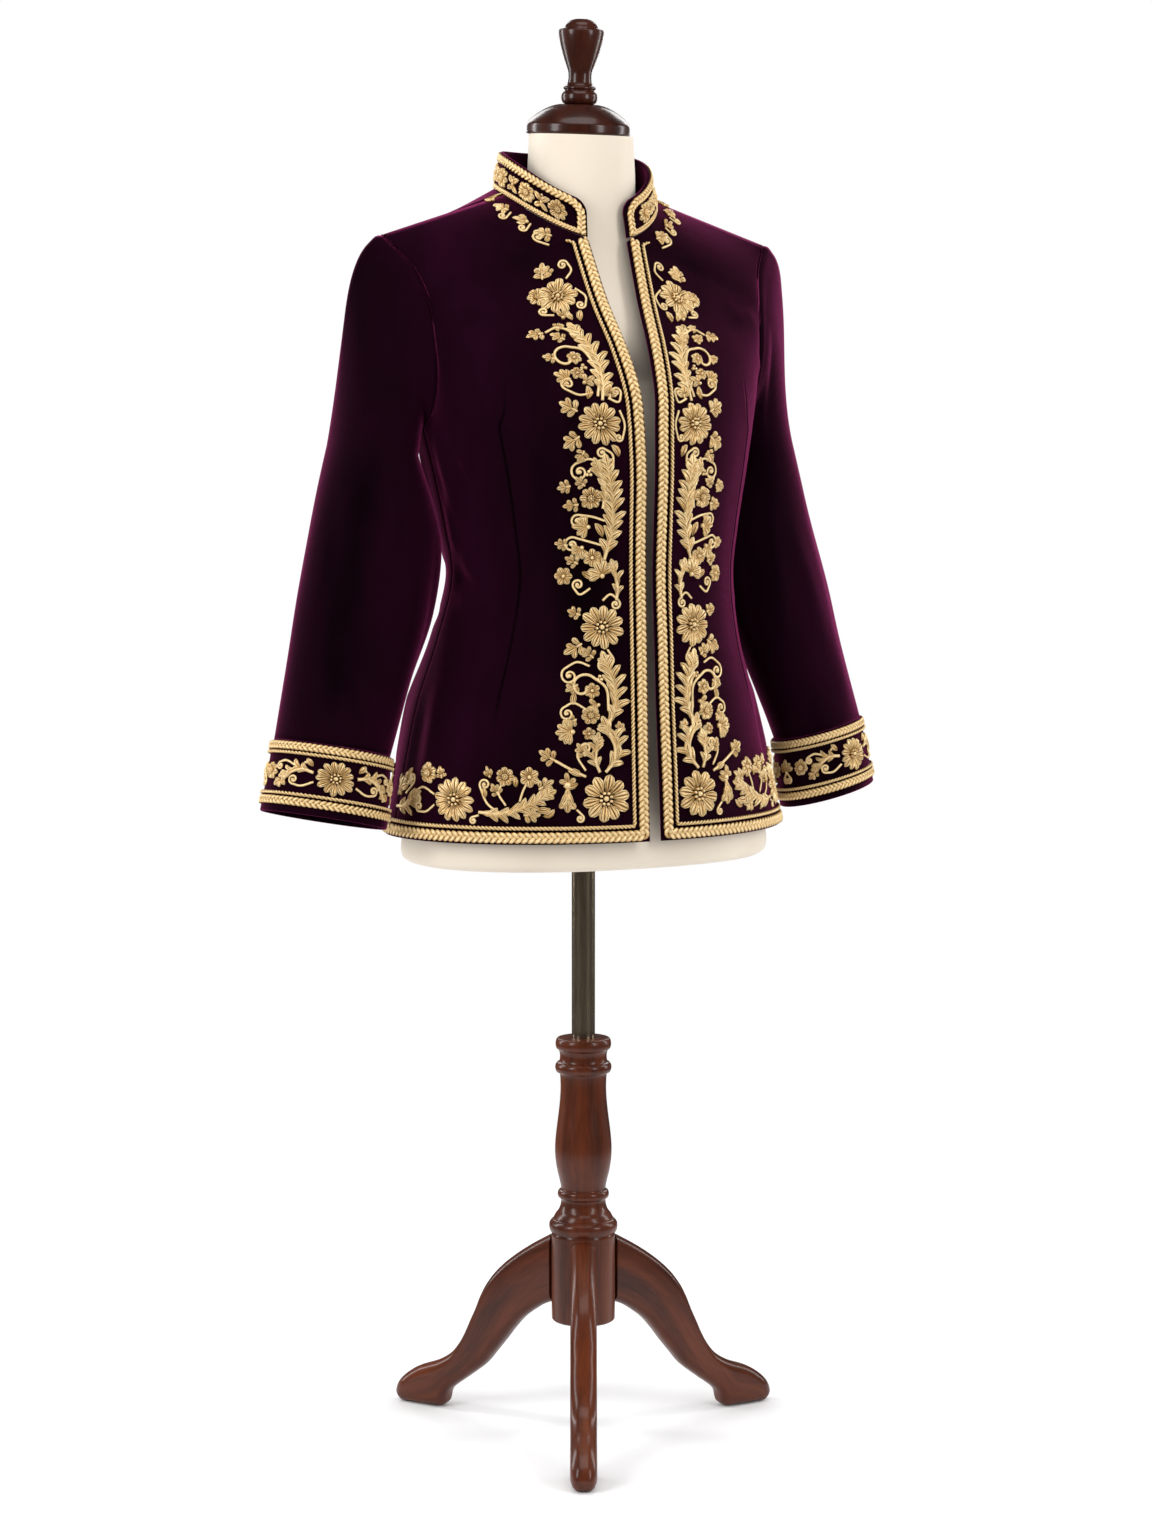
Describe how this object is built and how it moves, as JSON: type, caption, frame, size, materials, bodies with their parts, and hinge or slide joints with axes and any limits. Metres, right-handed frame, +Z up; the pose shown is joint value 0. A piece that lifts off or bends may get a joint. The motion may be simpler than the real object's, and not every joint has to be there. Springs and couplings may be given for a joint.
{
  "type": "karakou jacket on a limbless dress form with a wooden tripod stand",
  "caption": "Velvet karakou jacket with a stand collar, gold braid and padded gold flowers, open down the front, on a limbless dress form with a turned wooden tripod stand.",
  "frame": {"origin": "on the floor under the pole, the middle of the stand", "axes": "+Z up, the jacket's front faces -Y, +X is the wearer's left"},
  "size_m": [0.6984, 0.4056, 1.4502],
  "materials": {
    "velvet": "matte",
    "gold_thread": "satin",
    "jersey": "matte",
    "dark_wood": "gloss",
    "red_wood": "gloss",
    "bronze": "satin"
  },
  "bodies": {
    "stand": {"column": "red_wood", "hub": "red_wood", "leg_front": "red_wood", "leg_left": "red_wood", "leg_right": "red_wood"},
    "pole": {"pole": "bronze"},
    "dressed_form": {"front_right": "velvet", "front_left": "velvet", "back_right": "velvet", "back_left": "velvet", "collar": "velvet", "sleeve_right": "velvet", "cuff_right": "velvet", "sleeve_left": "velvet", "cuff_left": "velvet", "trim_front_right": "gold_thread", "trim_front_left": "gold_thread", "trim_hem_back": "gold_thread", "trim_collar": "gold_thread", "trim_neck": "gold_thread", "trim_cuff_top_right": "gold_thread", "trim_cuff_bottom_right": "gold_thread", "trim_cuff_top_left": "gold_thread", "trim_cuff_bottom_left": "gold_thread", "flower_front_neck_right": "gold_thread", "flower_front_bust_right": "gold_thread", "flower_front_waist_right": "gold_thread", "flower_front_corner_right": "gold_thread", "flower_front_hem_right": "gold_thread", "flower_front_neck_left": "gold_thread", "flower_front_bust_left": "gold_thread", "flower_front_waist_left": "gold_thread", "flower_front_corner_left": "gold_thread", "flower_front_hem_left": "gold_thread", "flower_back_middle": "gold_thread", "flower_back_left": "gold_thread", "flower_back_right": "gold_thread", "flower_cuff_front_right": "gold_thread", "flower_cuff_back_right": "gold_thread", "flower_cuff_front_left": "gold_thread", "flower_cuff_back_left": "gold_thread", "flower_collar_right": "gold_thread", "flower_collar_half_right": "gold_thread", "flower_collar_back": "gold_thread", "flower_collar_half_left": "gold_thread", "flower_collar_left": "gold_thread", "dress_form": "jersey", "neck_cap": "dark_wood", "finial": "dark_wood"}
  },
  "joints": [
    {"name": "pole_height", "type": "slide", "parent": "stand", "child": "pole", "axis": [0, 0, 1], "range_m": [-0.12, 0.1]},
    {"name": "form_turn", "type": "hinge", "parent": "pole", "child": "dressed_form", "pos_m": [0, 0, 0.604], "axis": [0, 0, 1], "continuous": true}
  ]
}
